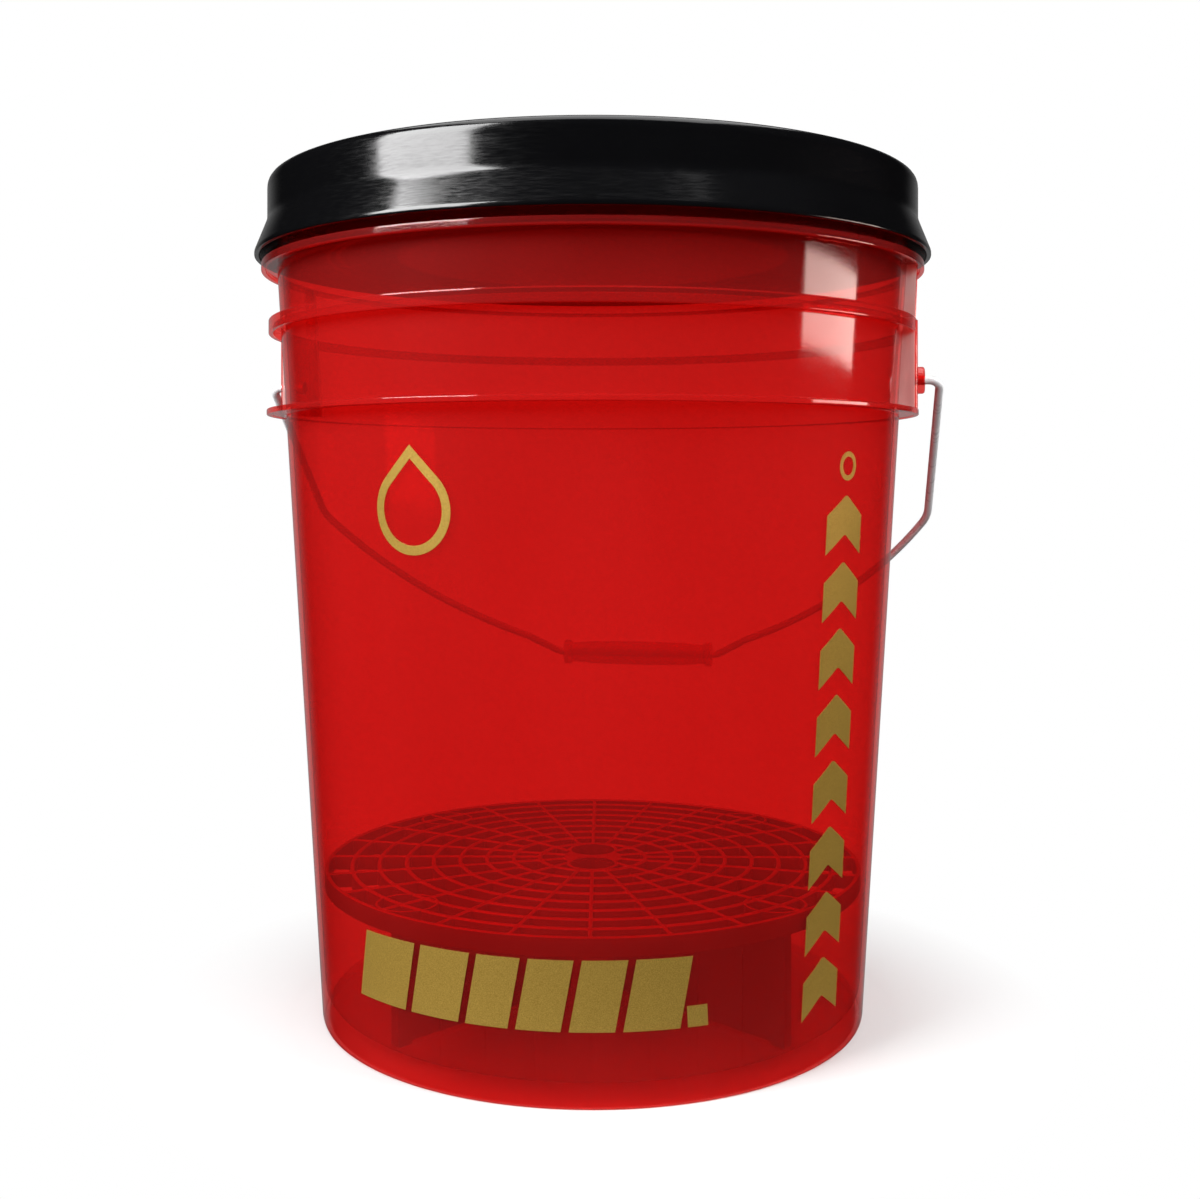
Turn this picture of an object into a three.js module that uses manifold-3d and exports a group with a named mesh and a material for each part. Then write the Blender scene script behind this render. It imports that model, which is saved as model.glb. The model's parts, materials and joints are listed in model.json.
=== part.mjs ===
// Wash bucket: a tapered pail with a wire bail, a two-piece screw lid and a lift-out grit guard.
// Millimetres, +Z up. The origin is the centre of the base, the bail's ears lie along X, and the
// bail rests against the back (+Y) wall. Angles round the wall are measured from the front (-Y)
// towards +X.
import * as THREE from 'three';
import { mergeVertices } from 'three/addons/utils/BufferGeometryUtils.js';
import Module from 'manifold-3d';

const wasm = await Module();
wasm.setup();

// ---- driving dimensions ----
const GAP = 0.3;              // between pieces that touch
const ROUND = 48;             // facets round the pail and the lid
const FINE = 16;              // facets round small round things

const BASE_R = 133;           // outside of the wall, carried down to the floor
const TAPER = 0.0602;         // growth of the wall's radius per millimetre of height
const WALL = 2.2;
const FLOOR_TOP = 8;
const FLOOR_BOTTOM = 5.6;
const FOOT_WIDTH = 3.6;
const NECK_R = 154.6;         // the straight neck above the top ring
const NECK_FROM = 360;
const RIM_TOP = 386;
const RIM_BEAD = { r: 156.6, height: 3.6 };

const TOP_RING = { r: 162.3, top: 363.1, lip: 3.6 };
const MIDDLE_RING = { r: 158.8, top: 335.9, lip: 6.4 };
const LOWER_RING = { r: 159.7, top: 293.2, lip: 2.6 };
const FLANGE = 2.2;           // thickness of a ring's flat web and of its turned-down lip

const PIVOT_Z = 307.5;
const EAR = { width: 36, face: 158.8, plate: 2.2 };
const HUB = { r: 6.5, end: 162.6 };

const WIRE_R = 2;
const WIRE_SIDES = 8;
const BAIL = {
  out: 169.6,                 // how far out the wire turns down
  knee: [166.8, 93],          // along X, and down from the pivot
  shoulderTurn: 28,           // degrees from the leg's line where the sweep starts
  sweepEndTurn: 61,
  kink: [66, 198.5],
  gripHalf: 45,
  depth: 213.2,               // from the pivot to the grip's axis
};
const GRIP = { end: 7.1, neck: 5.4, body: 6.4, middle: 6.9, flange: 3 };

const LID_LIP = { r: 165.5, z: 366.5 };
const LID_SIDE_R = 159.4;
const LID_TOP = 403.8;
const LID_WALL = 2.2;
const COLLAR = { r: 129.6, bottom: 367.5, ledge: 396, ledgeEnd: 147.2 };
const SKIRT = { r: 127, bottom: 368.5 };
const DISC = { r: 97.6, z: 369, thick: 2.4 };
const LID_FLANGE = { r: 146.4, bottom: 398.3, top: 402.8 };
const RIM_GASKET = { inner: 151.6, outer: 155.6, height: 2.7 };
const O_RING = { inner: 140, outer: 144 };
const LID_RIB = { half: 2, top: 391, hubR: 18, hubTopR: 16 };   // the crossed ribs in the lid's bowl
const THREAD = { lead: 12, bead: 1.7, lidStart: 374, ringStart: 380, steps: 36 };

const GUARD = { r: 132.2, top: 71, web: 4, skirt: 8.5, rib: 2, spoke: 1.6, turn: 10 };
const GUARD_RINGS = 10;
const SPOKES = 24;
const VANE = { thick: 2, end: 123, foot: FLOOR_TOP + GAP, windowR: 16, windowTop: 27 };
const VANE_POST = { length: 8, width: 4.8 };                // at the vane's outer end
const VANE_RIB = { at: 0.56 * VANE.end, length: 3, width: 3.6 };
const HUB_HOLE = { r: 11, rib: 1.8, offset: 13.3 };

const FILM = 0.35;            // thickness of the cut vinyl
const FILM_STEP = 6.5;        // widest flat strip of film on the round wall

const COLOURS = {
  pail: { color: 0xd21414, roughness: 0.22, metalness: 0 },
  lid: { color: 0x060606, roughness: 0.16, metalness: 0 },
  rubber: { color: 0x151515, roughness: 0.8, metalness: 0 },
  steel: { color: 0xb9bdc0, roughness: 0.25, metalness: 1 },
  grip: { color: 0xd01010, roughness: 0.4, metalness: 0 },
  guard: { color: 0xa80d0a, roughness: 0.45, metalness: 0 },
  gold: { color: 0xb08c3c, roughness: 0.4, metalness: 1 },
};

const bucket = new THREE.Group();
const rad = THREE.MathUtils.degToRad;
const wallR = (z) => BASE_R + TAPER * z;

// ---- geometry helpers ----
const material = (name) => new THREE.MeshStandardMaterial(COLOURS[name]);

function place(name, geometry, finish, parent = bucket) {
  const mesh = new THREE.Mesh(geometry, material(finish));
  mesh.name = name;
  parent.add(mesh);
  return mesh;
}

// A ring or a solid of revolution about Z from a closed (radius, height) outline.
function turned(outline, segments = ROUND) {
  const points = outline.map(([r, z]) => new THREE.Vector2(r, z));
  if (outline[0][0] > 0) points.push(points[0].clone());
  const geometry = new THREE.LatheGeometry(points, segments);
  geometry.rotateX(Math.PI / 2);
  return facingOut(geometry);
}

function bare(geometry) {
  const copy = geometry.clone();
  copy.deleteAttribute('normal');
  copy.deleteAttribute('uv');
  return mergeVertices(copy, 1e-4);
}

function signedVolume(geometry) {
  const points = geometry.attributes.position;
  const index = geometry.index;
  const corner = (i) => new THREE.Vector3().fromBufferAttribute(points, index.getX(i));
  let total = 0;
  for (let i = 0; i < index.count; i += 3) {
    total += corner(i).dot(corner(i + 1).cross(corner(i + 2)));
  }
  return total / 6;
}

function facingOut(geometry) {
  const merged = bare(geometry);
  if (signedVolume(merged) < 0) merged.index.array.reverse();
  return merged;
}

// Joins a row of equal loops of points into one closed body; the row's own ends meet if `round`.
function lofted(loops, round = false) {
  const count = loops[0].length;
  const positions = loops.flat().flatMap((p) => [p.x, p.y, p.z]);
  const triangles = [];
  const spans = round ? loops.length : loops.length - 1;
  for (let i = 0; i < spans; i++) {
    const a = i * count;
    const b = ((i + 1) % loops.length) * count;
    for (let k = 0; k < count; k++) {
      const n = (k + 1) % count;
      triangles.push(a + k, a + n, b + n, a + k, b + n, b + k);
    }
  }
  if (!round) {
    const last = (loops.length - 1) * count;
    for (let k = 1; k < count - 1; k++) {
      triangles.push(0, k + 1, k, last, last + k, last + k + 1);
    }
  }
  const geometry = new THREE.BufferGeometry();
  geometry.setAttribute('position', new THREE.Float32BufferAttribute(positions, 3));
  geometry.setIndex(triangles);
  if (signedVolume(geometry) < 0) geometry.index.array.reverse();
  return geometry;
}

function solid(geometry) {
  const merged = facingOut(geometry);
  return new wasm.Manifold(new wasm.Mesh({
    numProp: 3,
    vertProperties: new Float32Array(merged.attributes.position.array),
    triVerts: new Uint32Array(merged.index.array),
  }));
}

function asGeometry(manifold) {
  const mesh = manifold.getMesh();
  const geometry = new THREE.BufferGeometry();
  geometry.setAttribute('position', new THREE.BufferAttribute(mesh.vertProperties, 3));
  geometry.setIndex(new THREE.BufferAttribute(mesh.triVerts, 1));
  return geometry;
}

const joined = (first, ...others) => others.reduce((sum, other) => sum.add(other), first);

function box(low, high) {
  const [x, y, z] = high.map((value, i) => value - low[i]);
  const geometry = new THREE.BoxGeometry(x, y, z);
  geometry.translate(low[0] + x / 2, low[1] + y / 2, low[2] + z / 2);
  return geometry;
}

// A round bar from x0 to x1 along X at the pivot's height.
function barAlongX(r, x0, x1, segments = FINE) {
  const geometry = new THREE.CylinderGeometry(r, r, Math.abs(x1 - x0), segments);
  geometry.rotateZ(Math.PI / 2);
  geometry.translate((x0 + x1) / 2, 0, PIVOT_Z);
  return geometry;
}

// ---- the pail ----
// A flange that stands out from the wall with its edge turned down.
const ringOutline = ({ r, top, lip }) => [
  [wallR(top - FLANGE), top - FLANGE],
  [r - FLANGE, top - FLANGE],
  [r - FLANGE, top - lip],
  [r, top - lip],
  [r, top],
  [wallR(top), top],
];

function pailOutline() {
  const outside = [
    [BASE_R - FOOT_WIDTH, 0],
    [BASE_R - 1.4, 0],
    [BASE_R - 0.4, 0.7],
    [wallR(2.4), 2.4],
    ...ringOutline(LOWER_RING),
    ...ringOutline(MIDDLE_RING),
    ...ringOutline(TOP_RING),
    [NECK_R, TOP_RING.top + 0.2],
    [NECK_R, RIM_TOP - RIM_BEAD.height - 1.6],
    [RIM_BEAD.r, RIM_TOP - RIM_BEAD.height],
    [RIM_BEAD.r, RIM_TOP - 0.8],
    [RIM_BEAD.r - 0.8, RIM_TOP],
  ];
  const inside = [
    [NECK_R - WALL, RIM_TOP],
    [NECK_R - WALL, NECK_FROM],
    [wallR(FLOOR_TOP + 5) - WALL, FLOOR_TOP + 5],
    [wallR(FLOOR_TOP) - WALL - 1.5, FLOOR_TOP + 1.3],
    [wallR(FLOOR_TOP) - WALL - 5, FLOOR_TOP],
    [0, FLOOR_TOP],
    [0, FLOOR_BOTTOM],
    [BASE_R - FOOT_WIDTH - 2, FLOOR_BOTTOM],
    [BASE_R - FOOT_WIDTH, FLOOR_BOTTOM - 2],
  ];
  return [...outside, ...inside];
}

// An upright plate beside an ear: from just inside the wall out to x at the bottom and the top.
function earPlate(y, z0, x0, z1, x1) {
  const inner = (z) => Math.sqrt(wallR(z) ** 2 - y ** 2) - 1;
  const shape = new THREE.Shape([
    new THREE.Vector2(inner(z0), z0),
    new THREE.Vector2(x0, z0),
    new THREE.Vector2(x1, z1),
    new THREE.Vector2(inner(z1), z1),
  ]);
  const geometry = new THREE.ExtrudeGeometry(shape, { depth: EAR.plate, bevelEnabled: false });
  geometry.rotateX(Math.PI / 2);
  geometry.translate(0, y + EAR.plate / 2, 0);
  return geometry;
}

function earPieces() {
  const y = EAR.width / 2 - EAR.plate / 2;
  const boxBottom = LOWER_RING.top - 1;
  const boxTop = MIDDLE_RING.top - 1;
  const gussetTop = TOP_RING.top - 1;
  const pieces = [
    box([EAR.face - EAR.plate, -EAR.width / 2, boxBottom], [EAR.face, EAR.width / 2, boxTop]),
    barAlongX(HUB.r, EAR.face - 0.5, HUB.end),
  ];
  for (const side of [-y, y]) {
    pieces.push(earPlate(side, boxBottom, EAR.face, boxTop, EAR.face));
    pieces.push(earPlate(side, boxTop, EAR.face - 1, gussetTop, EAR.face));
  }
  return pieces;
}

function pail() {
  let body = solid(turned(pailOutline()));
  const reach = HUB.end + 1;
  for (const turn of [0, Math.PI]) {
    const place180 = (geometry) => solid(geometry.rotateZ(turn));
    body = joined(body, ...earPieces().map(place180));
    body = body.subtract(place180(barAlongX(WIRE_R + GAP + 0.05, wallR(PIVOT_Z) + 0.4, reach)));
  }
  return asGeometry(body);
}

// ---- the bail ----
// Points of a circular bend in the bail's plane, from one heading to another.
// A heading is the angle from straight down, turning inwards.
function bend(from, heading0, heading1, radius, steps) {
  const points = [];
  let [u, v] = from;
  for (let i = 0; i < steps; i++) {
    const step = rad(heading1 - heading0) / steps;
    const middle = rad(heading0) + step * (i + 0.5);
    const chord = 2 * radius * Math.sin(Math.abs(step) / 2);
    u -= chord * Math.sin(middle);
    v += chord * Math.cos(middle);
    points.push([u, v]);
  }
  return points;
}

// One half of the wire: out of the hub, down the leg, round the sweep, over the kink to the grip.
function halfBail() {
  const [kneeU, kneeV] = BAIL.knee;
  const lean = THREE.MathUtils.radToDeg(Math.atan2(BAIL.out - kneeU, kneeV));
  const turnR = 5;
  const start = [BAIL.out - turnR * Math.cos(rad(lean)), 0];
  const corner = bend(start, -90, lean, turnR, 6);
  const knee = bend([kneeU, kneeV - 5], lean, BAIL.shoulderTurn, 24, 4);
  const kneeEnd = knee[knee.length - 1];
  const chord = Math.hypot(kneeEnd[0] - BAIL.kink[0], BAIL.kink[1] - kneeEnd[1]);
  const sweepTurn = BAIL.sweepEndTurn - BAIL.shoulderTurn;
  const sweepR = chord / (2 * Math.sin(rad(sweepTurn) / 2));
  const sweep = bend(kneeEnd, BAIL.shoulderTurn, BAIL.sweepEndTurn, sweepR, 12);
  const last = sweep[sweep.length - 1];
  const dip = bend(last, BAIL.sweepEndTurn, 40, 12, 2);
  const dipEnd = dip[dip.length - 1];
  const rise = [BAIL.gripHalf + 4, BAIL.depth - 1.2];
  return [
    [BAIL.out - turnR - 10, 0],
    start,
    ...corner,
    ...knee,
    ...sweep,
    ...dip,
    [(dipEnd[0] * 2 + rise[0]) / 3, (dipEnd[1] * 2 + rise[1]) / 3],
    [(dipEnd[0] + rise[0] * 2) / 3, (dipEnd[1] + rise[1] * 2) / 3],
    rise,
    [BAIL.gripHalf + 1, BAIL.depth],
  ];
}

const gripBack = wallR(PIVOT_Z - BAIL.depth * Math.SQRT1_2) + GRIP.middle + GAP;
const bailTilt = Math.asin(gripBack / BAIL.depth);

function inBailPlane(u, v) {
  return new THREE.Vector3(u, v * Math.sin(bailTilt), PIVOT_Z - v * Math.cos(bailTilt));
}

function wirePath() {
  const half = halfBail();
  const left = half.map(([u, v]) => inBailPlane(-u, v));
  const right = half.map(([u, v]) => inBailPlane(u, v)).reverse();
  const middle = [-1, 0, 1].map((k) => inBailPlane(k * BAIL.gripHalf / 2, BAIL.depth));
  return [...left, ...middle, ...right];
}

// A round bar along a path that lies in one plane.
function bar(path, radius, sides, planeNormal) {
  const loops = path.map((point, i) => {
    const before = path[Math.max(i - 1, 0)];
    const after = path[Math.min(i + 1, path.length - 1)];
    const inPlane = after.clone().sub(before).cross(planeNormal).normalize();
    return Array.from({ length: sides }, (_, k) => {
      const angle = (k / sides) * 2 * Math.PI;
      return point.clone()
        .addScaledVector(inPlane, radius * Math.cos(angle))
        .addScaledVector(planeNormal, radius * Math.sin(angle));
    });
  });
  return lofted(loops);
}

function bailWire() {
  const normal = new THREE.Vector3(0, Math.cos(bailTilt), Math.sin(bailTilt));
  const headAt = wallR(PIVOT_Z) + 1;
  const path = wirePath();
  path[0].x = -headAt - 1;
  path[path.length - 1].x = headAt + 1;
  const heads = [headAt, -headAt].map((x) => solid(barAlongX(3.2, x, x + Math.sign(x) * 2.6, 12)));
  return asGeometry(joined(solid(bar(path, WIRE_R, WIRE_SIDES, normal)), ...heads));
}

function bailGrip() {
  const half = BAIL.gripHalf - 0.5;
  const bore = WIRE_R + GAP + 0.05;
  const profile = [
    [bore, -half],
    [GRIP.end - 0.6, -half],
    [GRIP.end, -half + 0.8],
    [GRIP.end, -half + GRIP.flange],
    [GRIP.neck, -half + GRIP.flange + 2],
    [GRIP.body, -half * 0.62],
    [GRIP.middle, 0],
    [GRIP.body, half * 0.62],
    [GRIP.neck, half - GRIP.flange - 2],
    [GRIP.end, half - GRIP.flange],
    [GRIP.end, half - 0.8],
    [GRIP.end - 0.6, half],
    [bore, half],
  ];
  const geometry = turned(profile, 20);
  geometry.rotateY(Math.PI / 2);
  const centre = inBailPlane(0, BAIL.depth);
  geometry.translate(centre.x, centre.y, centre.z);
  return geometry;
}

// ---- the lid ----
// One turn of a round thread bead with its centre line at radius r.
function threadBead(r, startZ) {
  const sides = 4;
  const loops = Array.from({ length: THREAD.steps + 1 }, (_, i) => {
    const share = i / THREAD.steps;
    const angle = share * 2 * Math.PI * 0.97;
    const z = startZ + THREAD.lead * share * 0.97;
    return Array.from({ length: sides }, (_, k) => {
      const a = (k / sides) * 2 * Math.PI;
      const reach = r + THREAD.bead * Math.cos(a);
      return new THREE.Vector3(
        reach * Math.cos(angle), reach * Math.sin(angle), z + THREAD.bead * Math.sin(a));
    });
  });
  return lofted(loops);
}

function lidRing() {
  const inner = LID_SIDE_R - LID_WALL;
  const outline = [
    [LID_LIP.r, LID_LIP.z],
    [LID_LIP.r, LID_LIP.z + 1.6],
    [LID_SIDE_R + 1.2, 380.4],
    [LID_SIDE_R, 383.6],
    [LID_SIDE_R, LID_TOP - 5.2],
    [LID_SIDE_R - 1.1, LID_TOP - 2.2],
    [LID_SIDE_R - 4, LID_TOP],
    [COLLAR.ledgeEnd + 2, LID_TOP],
    [COLLAR.ledgeEnd + 0.8, LID_TOP - 1.2],
    [COLLAR.ledgeEnd, COLLAR.ledge],
    [COLLAR.r, COLLAR.ledge],
    [COLLAR.r, COLLAR.bottom],
    [COLLAR.r + LID_WALL, COLLAR.bottom],
    [COLLAR.r + LID_WALL, COLLAR.ledge - LID_WALL],
    [RIM_BEAD.r - 5.4, COLLAR.ledge - LID_WALL],
    [RIM_BEAD.r - 5.4, RIM_TOP + 3.3],
    [RIM_BEAD.r - 3, RIM_TOP + 3.3],
    [RIM_BEAD.r - 3, LID_TOP - LID_WALL],
    [inner - 1.4, LID_TOP - LID_WALL],
    [inner, LID_TOP - LID_WALL - 1.6],
    [inner, 383.2],
    [inner + 1, 379.4],
    [LID_LIP.r - 2.1, LID_LIP.z + 0.8],
    [LID_LIP.r - 2.1, LID_LIP.z],
  ];
  const bead = solid(threadBead(COLLAR.r - 0.1, THREAD.ringStart));
  return asGeometry(joined(solid(turned(outline)), bead));
}

// A square-sided ring between two radii and two heights.
const squareRing = (inner, outer, low, high) => turned([
  [inner, low],
  [outer, low],
  [outer, high],
  [inner, high],
]);

function rimGasket() {
  const low = RIM_TOP + GAP;
  return squareRing(RIM_GASKET.inner, RIM_GASKET.outer, low, low + RIM_GASKET.height);
}

const lidORing = () => squareRing(
  O_RING.inner, O_RING.outer, COLLAR.ledge + GAP, LID_FLANGE.bottom - GAP);

function screwLidOutline() {
  const bowl = DISC.r + 7;
  return [
    [0, DISC.z],
    [DISC.r - 1.6, DISC.z],
    [DISC.r, DISC.z + 1.6],
    [bowl - LID_WALL, 392],
    [bowl, 394],
    [SKIRT.r - LID_WALL, 394],
    [SKIRT.r - LID_WALL, SKIRT.bottom],
    [SKIRT.r, SKIRT.bottom],
    [SKIRT.r, LID_FLANGE.bottom],
    [LID_FLANGE.r, LID_FLANGE.bottom],
    [LID_FLANGE.r, LID_FLANGE.top - 1.4],
    [LID_FLANGE.r - 1.4, LID_FLANGE.top],
    [SKIRT.r + 3, LID_FLANGE.top],
    [SKIRT.r + 1, LID_FLANGE.top - 1.2],
    [SKIRT.r - 0.5, 396.6],
    [bowl + 2.5, 396.6],
    [bowl + 0.4, 395],
    [DISC.r + 2, DISC.z + 5],
    [DISC.r - 1.5, DISC.z + DISC.thick],
    [0, DISC.z + DISC.thick],
  ];
}

// Two crossed ribs in the bowl give the hand something to turn.
function screwLid() {
  const reach = DISC.r - 5;
  const low = DISC.z + 1;
  const high = LID_RIB.top;
  const rib = box([-reach, -LID_RIB.half, low], [reach, LID_RIB.half, high]);
  const ribs = [0, Math.PI / 2].map((turn) => solid(rib.clone().rotateZ(turn)));
  const hubTop = high - 1.5;
  const hub = turned(
    [[0, low], [LID_RIB.hubR, low], [LID_RIB.hubTopR, hubTop], [0, hubTop]], FINE * 2);
  const bead = solid(threadBead(SKIRT.r + 0.1, THREAD.lidStart));
  return asGeometry(joined(solid(turned(screwLidOutline())), ...ribs, solid(hub), bead));
}

// ---- the grit guard ----
const guardRingR = (k) => (k * GUARD.r) / GUARD_RINGS;

// One open cell of the grille between rings k and k + 1, and two neighbouring spokes.
function cell(k, from, to) {
  const low = guardRingR(k) + GUARD.rib / 2;
  const last = k + 1 === GUARD_RINGS;
  const high = guardRingR(k + 1) - (last ? GUARD.rib : GUARD.rib / 2);
  const corner = (r, angle, side) => {
    const a = angle + side * Math.asin(GUARD.spoke / 2 / r);
    return new THREE.Vector2(r * Math.cos(a), r * Math.sin(a));
  };
  return new THREE.Path([
    corner(low, from, 1),
    corner(high, from, 1),
    corner(high, to, -1),
    corner(low, to, -1),
  ]);
}

// The spokes stop short of the hub at different rings, so that the cells stay of a size.
function spokeReaches(j, k) {
  if (k === 1) return j % 2 === 1;
  return k > 2 || j % 6 === 0 || j % 2 === 1;
}

function grille() {
  const rim = Array.from({ length: 2 * SPOKES }, (_, i) => {
    const a = (i / SPOKES) * Math.PI;
    return new THREE.Vector2(GUARD.r * Math.cos(a), GUARD.r * Math.sin(a));
  });
  const shape = new THREE.Shape(rim);
  const pitch = (2 * Math.PI) / SPOKES;
  for (let k = 1; k < GUARD_RINGS; k++) {
    const here = Array.from({ length: SPOKES }, (_, j) => j).filter((j) => spokeReaches(j, k));
    here.forEach((j, i) => {
      const next = here[(i + 1) % here.length] + (i + 1 === here.length ? SPOKES : 0);
      shape.holes.push(cell(k, j * pitch, next * pitch));
    });
  }
  const geometry = new THREE.ExtrudeGeometry(shape, { depth: GUARD.web, bevelEnabled: false });
  geometry.translate(0, 0, GUARD.top - GUARD.web);
  return geometry;
}

function loop(r, rib, x, y) {
  const geometry = turned([
    [r, GUARD.top - GUARD.web],
    [r + rib, GUARD.top - GUARD.web],
    [r + rib, GUARD.top],
    [r, GUARD.top],
  ], FINE);
  return geometry.translate(x, y, 0);
}

function vane(turn) {
  const low = VANE.foot;
  const high = GUARD.top - 1;
  const shape = new THREE.Shape([
    new THREE.Vector2(0, VANE.windowTop),
    new THREE.Vector2(VANE.windowR, VANE.windowTop),
    new THREE.Vector2(VANE.windowR, low + 1),
    new THREE.Vector2(VANE.end, low + 1),
    new THREE.Vector2(VANE.end, high),
    new THREE.Vector2(0, high),
  ]);
  const plate = new THREE.ExtrudeGeometry(shape, { depth: VANE.thick, bevelEnabled: false });
  plate.rotateX(Math.PI / 2);
  plate.translate(0, VANE.thick / 2, 0);
  const post = box(
    [VANE.end - VANE_POST.length, -VANE_POST.width / 2, low],
    [VANE.end, VANE_POST.width / 2, high - 2]);
  const rib = box(
    [VANE_RIB.at, -VANE_RIB.width / 2, low + 1],
    [VANE_RIB.at + VANE_RIB.length, VANE_RIB.width / 2, high - 2]);
  return [plate, post, rib].map((geometry) => solid(geometry.rotateZ(turn)));
}

function guardRim() {
  return turned([
    [GUARD.r - GUARD.rib, GUARD.top - GUARD.skirt],
    [GUARD.r, GUARD.top - GUARD.skirt],
    [GUARD.r, GUARD.top - 0.5],
    [GUARD.r - GUARD.rib, GUARD.top - 0.5],
  ], 2 * SPOKES);
}

function gritGuard() {
  const diagonals = [0, 1, 2, 3].map((i) => Math.PI / 4 + (i * Math.PI) / 2);
  const hubLoops = [-1, 1].map((s) => solid(loop(HUB_HOLE.r, HUB_HOLE.rib, 0, s * HUB_HOLE.offset)));
  let body = solid(grille());
  for (const s of [-1, 1]) {
    const hole = new THREE.CylinderGeometry(HUB_HOLE.r + 0.5, HUB_HOLE.r + 0.5, 20, FINE);
    hole.rotateX(Math.PI / 2);
    hole.translate(0, s * HUB_HOLE.offset, GUARD.top);
    body = body.subtract(solid(hole));
  }
  body = joined(body, solid(guardRim()), ...hubLoops, ...diagonals.flatMap(vane));
  const geometry = asGeometry(body);
  return geometry.rotateZ(rad(GUARD.turn));
}

// ---- the cut vinyl ----
// A point on the film: s along the wall from the piece's own centre, height z, `out` from the wall.
function onWall(centre, s, z, out) {
  const angle = rad(centre) + s / wallR(z);
  const r = wallR(z) + out;
  return new THREE.Vector3(r * Math.sin(angle), -r * Math.cos(angle), z);
}

// A piece of film made of crosswise edges [s, z, s, z], as one closed body.
function film(centre, edges, round = false) {
  const inner = GAP;
  const outer = GAP + FILM;
  return lofted(edges.map(([s0, z0, s1, z1]) => [
    onWall(centre, s0, z0, inner),
    onWall(centre, s1, z1, inner),
    onWall(centre, s1, z1, outer),
    onWall(centre, s0, z0, outer),
  ]), round);
}

function stepsAcross(width) {
  const count = Math.ceil(width / FILM_STEP);
  return Array.from({ length: count + 1 }, (_, i) => (i / count - 0.5) * width);
}

// A ring of film between an outline and the same outline moved in by the stroke.
function filmOutline(centre, z, outline, stroke) {
  const edges = outline.map(([s, h], i) => {
    const [s0, h0] = outline[(i + outline.length - 1) % outline.length];
    const [s1, h1] = outline[(i + 1) % outline.length];
    const length = Math.hypot(s1 - s0, h1 - h0);
    const normal = [-(h1 - h0) / length, (s1 - s0) / length];
    const reach = stroke * (i === 0 ? 1.9 : 1);
    return [s, z + h, s + normal[0] * reach, z + h + normal[1] * reach];
  });
  return film(centre, edges, true);
}

// A falling drop: a round bottom and two flanks that meet in a point at the top.
function dropOutline(width, height, steps) {
  const r = width / 2;
  const rise = height - r;
  const tangent = Math.acos(r / rise);
  const points = [[0, rise]];
  for (let i = 0; i <= steps; i++) {
    const a = Math.PI / 2 + tangent + (i / steps) * (2 * Math.PI - 2 * tangent);
    points.push([r * Math.cos(a), r * Math.sin(a)]);
  }
  return points;
}

const EMBLEM = { centre: -20, z: 247, width: 38, height: 46, stroke: 4 };
const TREADS = { from: -38.5, low: 33, high: 63, slant: 7, gap: 3.4 };
const TREAD_WIDTHS = [30, 24, 19, 19, 19, 24];
const TREAD_DOT = 9;
const CHEVRONS = { centre: 58.5, low: 24, count: 8, pitch: 29, band: 17, width: 27, rise: 9 };
const MARK = { z: 265.5, r: 6.3, stroke: 2.2 };

function emblem() {
  const outline = dropOutline(EMBLEM.width, EMBLEM.height, 22);
  place('vinyl_drop', filmOutline(EMBLEM.centre, EMBLEM.z, outline, EMBLEM.stroke), 'gold');
}

function treadBlocks() {
  let along = 0;
  TREAD_WIDTHS.forEach((width, i) => {
    const middle = along + width / 2;
    const edges = stepsAcross(width).map((s) => [
      middle + s, TREADS.low, middle + s + TREADS.slant, TREADS.high]);
    place(`vinyl_tread_${i + 1}`, film(TREADS.from, edges), 'gold');
    along += width + TREADS.gap;
  });
  const dot = stepsAcross(TREAD_DOT).map((s) => [
    along + TREAD_DOT / 2 + s, TREADS.low, along + TREAD_DOT / 2 + s, TREADS.low + TREAD_DOT]);
  place('vinyl_tread_dot', film(TREADS.from, dot), 'gold');
}

function chevrons() {
  for (let i = 0; i < CHEVRONS.count; i++) {
    const low = CHEVRONS.low + i * CHEVRONS.pitch;
    const edges = [-1, -0.5, 0, 0.5, 1].map((t) => {
      const s = (t * CHEVRONS.width) / 2;
      const z = low + CHEVRONS.rise * (1 - Math.abs(t));
      return [s, z, s, z + CHEVRONS.band];
    });
    place(`vinyl_chevron_${i + 1}`, film(CHEVRONS.centre, edges), 'gold');
  }
  const circle = Array.from({ length: 20 }, (_, i) => {
    const a = (i / 20) * 2 * Math.PI;
    return [[MARK.r, a], [MARK.r - MARK.stroke, a]].flatMap(
      ([r, angle]) => [r * Math.cos(angle), MARK.z + r * Math.sin(angle)]);
  });
  place('vinyl_ring', film(CHEVRONS.centre, circle, true), 'gold');
}

// ---- assembly ----
place('pail', pail(), 'pail');
place('bail_wire', bailWire(), 'steel');
place('bail_grip', bailGrip(), 'grip');
place('lid_ring', lidRing(), 'lid');
place('rim_gasket', rimGasket(), 'rubber');
place('screw_lid', screwLid(), 'lid');
place('lid_o_ring', lidORing(), 'rubber');
place('grit_guard', gritGuard(), 'guard');
emblem();
treadBlocks();
chevrons();

export default bucket;
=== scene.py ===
import json
import math

import bmesh
import bpy
from mathutils import Matrix, Vector


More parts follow.
